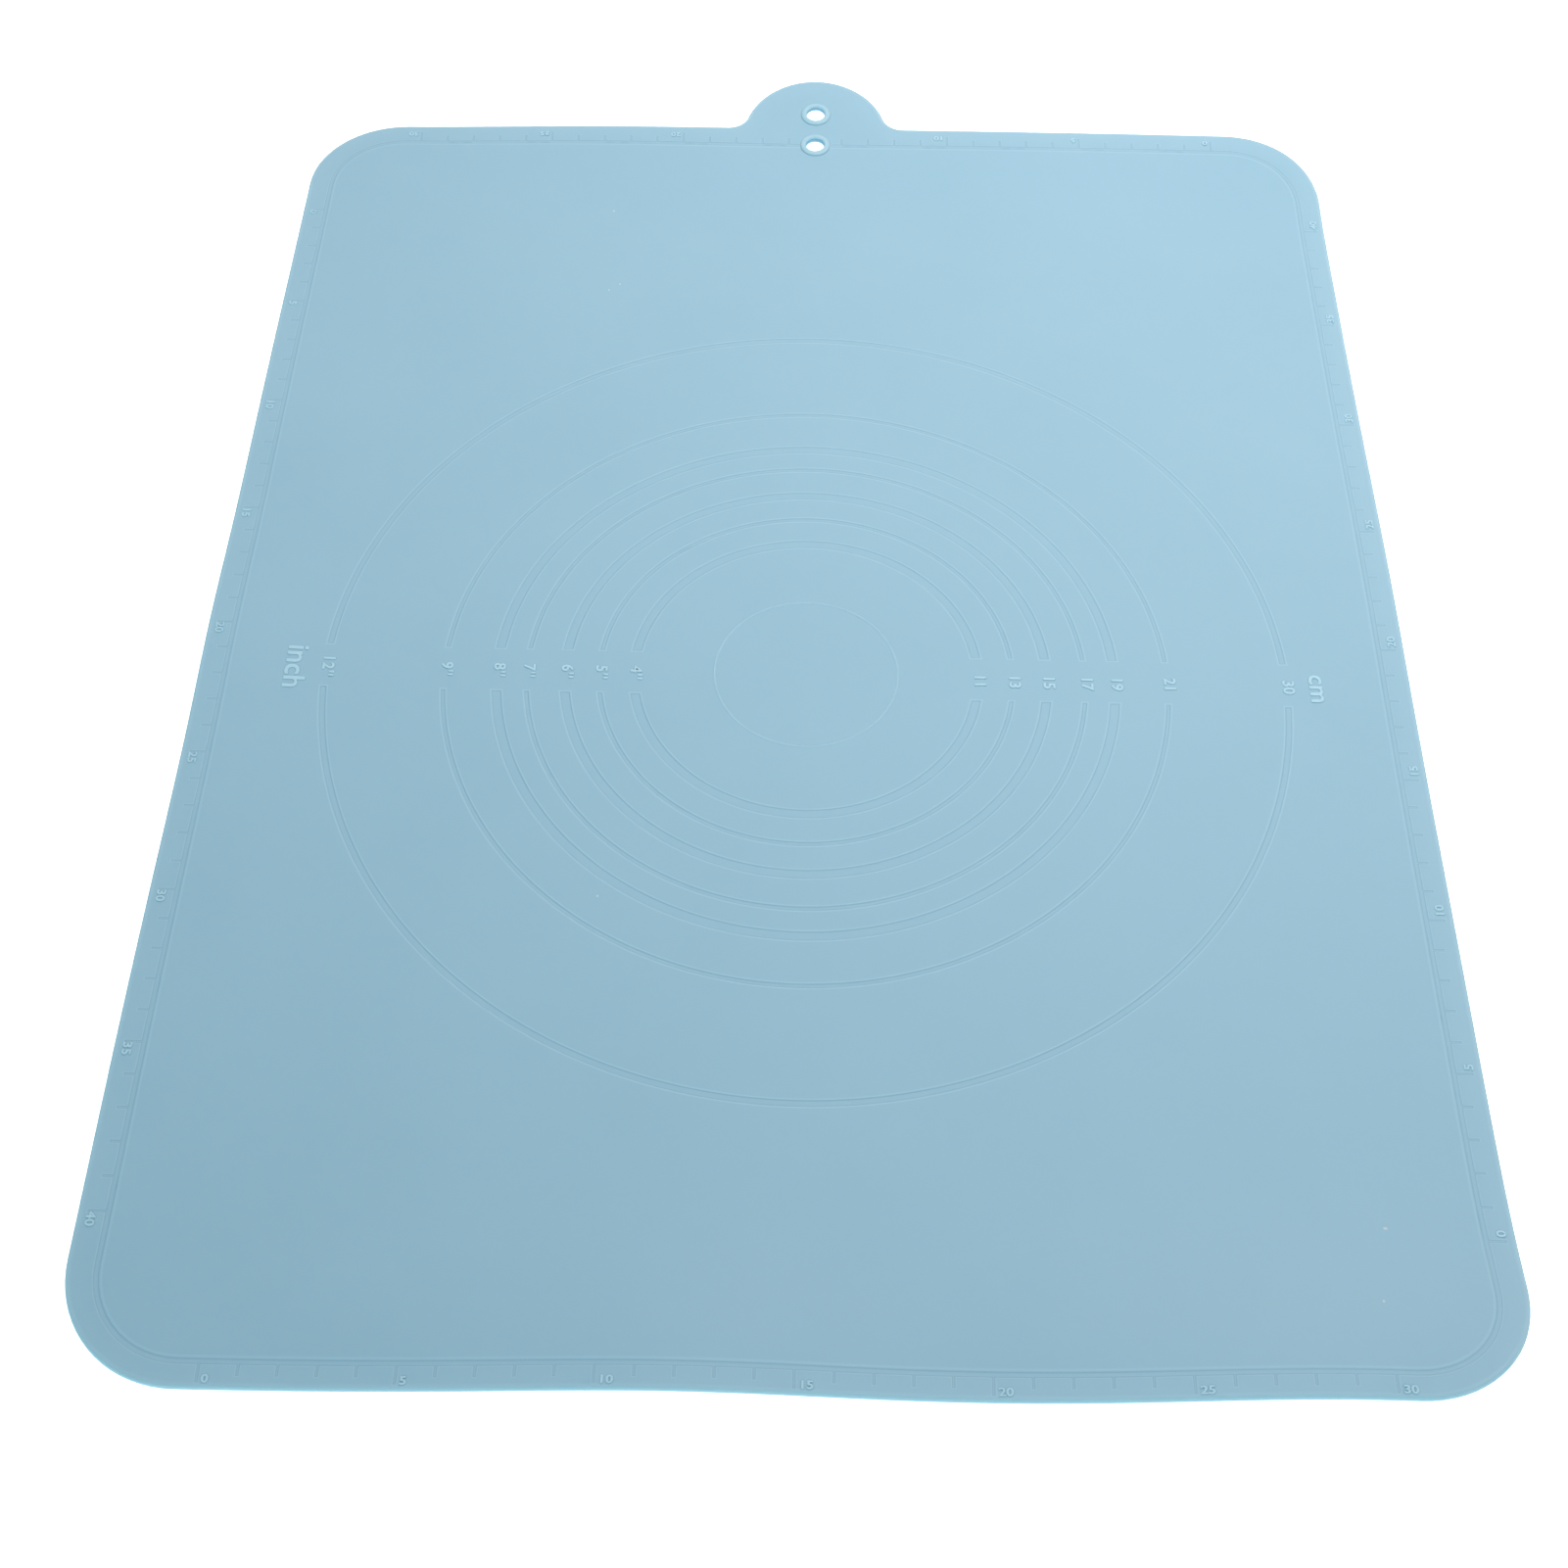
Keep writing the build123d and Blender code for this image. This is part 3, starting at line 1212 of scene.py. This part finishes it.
class BAKINGMAT_OT_sheet(bpy.types.Operator):
    """Mould the sheet with its outline, sunk lines and hanging holes, and lay it on the table"""

    bl_idname = "baking_mat.sheet"
    bl_label = "Moulded Sheet"

    def execute(self, context):
        outline = outline_path()
        marked = marked_face_pattern(outline)
        underside = Pattern(outline, mat_settings().sheet.foot_round, HOLE_ROWS[:1])
        shell = Shell()
        for pattern, z in ((marked, marked_face), (underside, 0.0)):
            points, heights, faces = pattern.fill()
            shell.add([(p.x, p.y, z + h) for p, h in zip(points, heights)], faces)
        shell.add_wall(edge_rows(outline))
        for hole in hole_places:
            shell.add_wall([at_height(hole_circle(hole), z) for z in (0.0, marked_face / 2, marked_face)])
        mesh = shell.mesh("laid_sheet")
        store_shading(mesh, outline, marked.tones)
        sheet = new_piece("laid_sheet", mesh)
        lay_piece(sheet, silicone_material("silicone_pale_blue", painted_highlight=0.0))
        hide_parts("mat_sheet")
        return {"FINISHED"}


class BAKINGMAT_OT_rings(bpy.types.Operator):
    """Mould the raised ring round each hanging hole"""

    bl_idname = "baking_mat.rings"
    bl_label = "Hanging Hole Rings"

    def execute(self, context):
        # The rings take a part-way painted highlight.
        material = silicone_material("silicone_ring", painted_highlight=0.35)
        hole_radius = mat_settings().sheet.hole_radius
        for (name, node), hole in zip(RINGS.items(), hole_places):
            ring = new_piece(name)
            run_tree(ring, ring_bead(), {
                "Inner Radius": hole_radius,
                "Width": ring_radius - hole_radius,
                "Height": ring_height,
                "Place": (hole.x, hole.y, marked_face),
                "Material": material,
            })
            lay_piece(ring, material)
            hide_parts(node)
        return {"FINISHED"}


class BAKINGMAT_OT_ruler_numbers(bpy.types.Operator):
    """Mould the raised centimetre numbers along the four rulers"""

    bl_idname = "baking_mat.ruler_numbers"
    bl_label = "Ruler Numbers"

    def execute(self, context):
        relief = mat_settings().relief
        lettering = mat_settings().lettering
        apart = lettering.numbers_apart
        across = number_stock("across_numbers", lettering.across_cap, width=1.28)
        along = number_stock("along_numbers", lettering.along_cap, width=1.2)
        # The raised numbers take the full painted highlight.
        material = silicone_material("silicone_raised", painted_highlight=1.0)
        # The far row leaves out its fourth number, which falls on the tab's root; -1 leaves out none.
        rows = (
            ("near", 0, across, lettering.ruler_start, -1),
            ("right", 90, along, lettering.ruler_start, -1),
            ("far", 180, across, lettering.ruler_start, 3),
            ("left", 270, along, lettering.ruler_start_left, -1),
        )
        for side, turn, stock, start, left_out in rows:
            ruler, distance = ruler_side(turn)
            row = new_piece(f"{side}_ruler_numbers")
            run_tree(row, number_row(), {
                "Numbers": stock,
                "Count": round(ruler / relief.tick_pitch / apart) + 1,
                "Apart": apart * relief.tick_pitch,
                "First": (start - ruler / 2, -distance - relief.label_tick_reach, 0),
                "Turn": math.radians(turn),
                "Middle": (0, line_middle(), 0),
                "Left Out": left_out,
                "Material": material,
            })
            lay_piece(row, material, smooth=False)
        for stock in (across, along):
            for number in list(stock.objects):
                bpy.data.objects.remove(number)
            bpy.data.collections.remove(stock)
        return {"FINISHED"}


class BAKINGMAT_OT_circle_labels(bpy.types.Operator):
    """Mould the raised sizes and unit words in the gaps of the dough circles"""

    bl_idname = "baking_mat.circle_labels"
    bl_label = "Circle Labels"

    def execute(self, context):
        cap = mat_settings().lettering.circle_cap
        turned = Matrix.Rotation(math.radians(-90), 4, "Z")
        # The raised sizes and words take the full painted highlight.
        material = silicone_material("silicone_raised", painted_highlight=1.0)
        # Places in millimetres. The unit word of a column has its place, its height and its width.
        inches = [(-radius + 0.8, -1.5, inch) for radius, _, inch, _ in DOUGH_CIRCLES]
        centimetres = [(radius + 0.7, -1.8, size) for radius, _, _, size in DOUGH_CIRCLES]
        columns = (
            ("inch_labels", inches, 1.12, ("inch", -162.3, -2.5, 6.5, 1.1)),
            ("centimetre_labels", centimetres, 1.0, ("cm", 157.3, -2.3, 5.6, 1.15)),
        )
        for name, sizes, spread, (unit, unit_x, unit_y, unit_cap, unit_width) in columns:
            meshes = []
            for x, y, words in sizes:
                mesh = letter_mesh(words, cap, 1.1, bold=0.035 * MM, spread=spread, centred=True)
                mesh.transform(Matrix.Translation((x * MM - cap / 2, y * MM, 0)) @ turned)
                meshes.append(mesh)
            word = letter_mesh(unit, unit_cap * MM, unit_width, bold=0.05 * MM, centred=True)
            word.transform(Matrix.Translation((unit_x * MM, unit_y * MM, 0)) @ turned)
            meshes.append(word)
            lay_piece(new_piece(name, join_meshes(name, meshes)), material, smooth=False)
        return {"FINISHED"}


class BAKINGMAT_OT_declare(bpy.types.Operator):
    """Work out the area inside the sheet's outline, which nothing keeps"""

    bl_idname = "baking_mat.declare"
    bl_label = "Declare the Sheet"

    def execute(self, context):
        polygon_area(outline_path())
        return {"FINISHED"}


# Stage. The floor and the lights are in metres, and each light has its place, its aim and its size.
FLOOR_REACH = 4.0
LIGHTS = {
    "key": ((0.24, 0.29, 0.76), (0.1, 0.1, 0), 0.6),
    "back": ((0, 1.6, 1.0), (0, 0, 0), 1.5),
    "front": ((-1.0, -4.0, 2.6), (0, 0, 0), 2.5),
}


def add_area_light(name, place, aim, size, power, colour):
    """A square soft light that faces its aim."""
    light = bpy.data.lights.new(name, "AREA")
    light.size = size
    light.energy = power
    light.color = colour
    lamp = new_piece(name, light)
    lamp.location = place
    lamp.rotation_euler = (Vector(aim) - Vector(place)).to_track_quat("-Z", "Y").to_euler()


class BAKINGMAT_OT_stage(bpy.types.Operator):
    """Set up the white floor, the soft lights and the camera"""

    bl_idname = "baking_mat.stage"
    bl_label = "Stage"

    def execute(self, context):
        stage = mat_settings().stage
        mesh = bpy.data.meshes.new("floor")
        corners = ((-1, -1), (1, -1), (1, 1), (-1, 1))
        points = [(x * FLOOR_REACH, y * FLOOR_REACH, -0.1 * MM) for x, y in corners]
        mesh.from_pydata(points, [], [(0, 1, 2, 3)])
        mesh.materials.append(white_floor_material())
        new_piece("floor", mesh)

        for name, (place, aim, size) in LIGHTS.items():
            power, colour = getattr(stage, f"{name}_power"), getattr(stage, f"{name}_colour")
            add_area_light(f"{name}_light", place, aim, size, power, colour)

        world = bpy.data.worlds.new("white_room")
        world.use_nodes = True
        background = world.node_tree.nodes["Background"]
        set_sockets(background, {"Color": (*stage.room_colour, 1), "Strength": stage.room_power})
        context.scene.world = world
        context.scene.view_settings.view_transform = "Standard"

        lens = bpy.data.cameras.new("camera")
        lens.sensor_width = 36.0
        lens.lens = stage.lens
        camera = new_piece("camera", lens)
        place = Matrix.Translation((-stage.camera_left, -stage.camera_back, stage.camera_height))
        turn = Matrix.Rotation(stage.turn, 4, "Z")
        tilt = Matrix.Rotation(stage.tilt, 4, "X")
        roll = Matrix.Rotation(stage.roll, 4, "Z")
        camera.matrix_world = place @ turn @ tilt @ roll
        context.scene.camera = camera
        return {"FINISHED"}


class BAKINGMAT_PT_panel(bpy.types.Panel):
    """Sizes of the baking mat, and a button for each piece"""

    bl_idname = "BAKINGMAT_PT_panel"
    bl_label = "Baking Mat"
    bl_space_type = "VIEW_3D"
    bl_region_type = "UI"
    bl_category = "Baking Mat"

    def draw(self, context):
        for group in BakingMat.__annotations__:
            settings = getattr(context.scene.baking_mat, group)
            box = self.layout.box()
            box.label(text=group.title())
            for name in settings.__annotations__:
                box.prop(settings, name)
        for operator in OPERATORS:
            self.layout.operator(operator.bl_idname)


SETTINGS = (
    SheetSizes, ReliefSizes, LaySizes, LetteringSizes, SiliconeLook, StageSizes, BakingMat,
)
OPERATORS = (
    BAKINGMAT_OT_sheet,
    BAKINGMAT_OT_rings,
    BAKINGMAT_OT_ruler_numbers,
    BAKINGMAT_OT_circle_labels,
    BAKINGMAT_OT_declare,
    BAKINGMAT_OT_stage,
)
CLASSES = SETTINGS + OPERATORS + (BAKINGMAT_PT_panel,)


def register():
    for entry in CLASSES:
        bpy.utils.register_class(entry)
    bpy.types.Scene.baking_mat = PointerProperty(type=BakingMat)


def unregister():
    del bpy.types.Scene.baking_mat
    for entry in reversed(CLASSES):
        bpy.utils.unregister_class(entry)


def main():
    """Builds every piece and the stage."""
    register()
    bpy.ops.baking_mat.sheet()
    bpy.ops.baking_mat.rings()
    bpy.ops.baking_mat.ruler_numbers()
    bpy.ops.baking_mat.circle_labels()
    bpy.ops.baking_mat.declare()
    bpy.ops.baking_mat.stage()


if __name__ == "__main__":
    main()
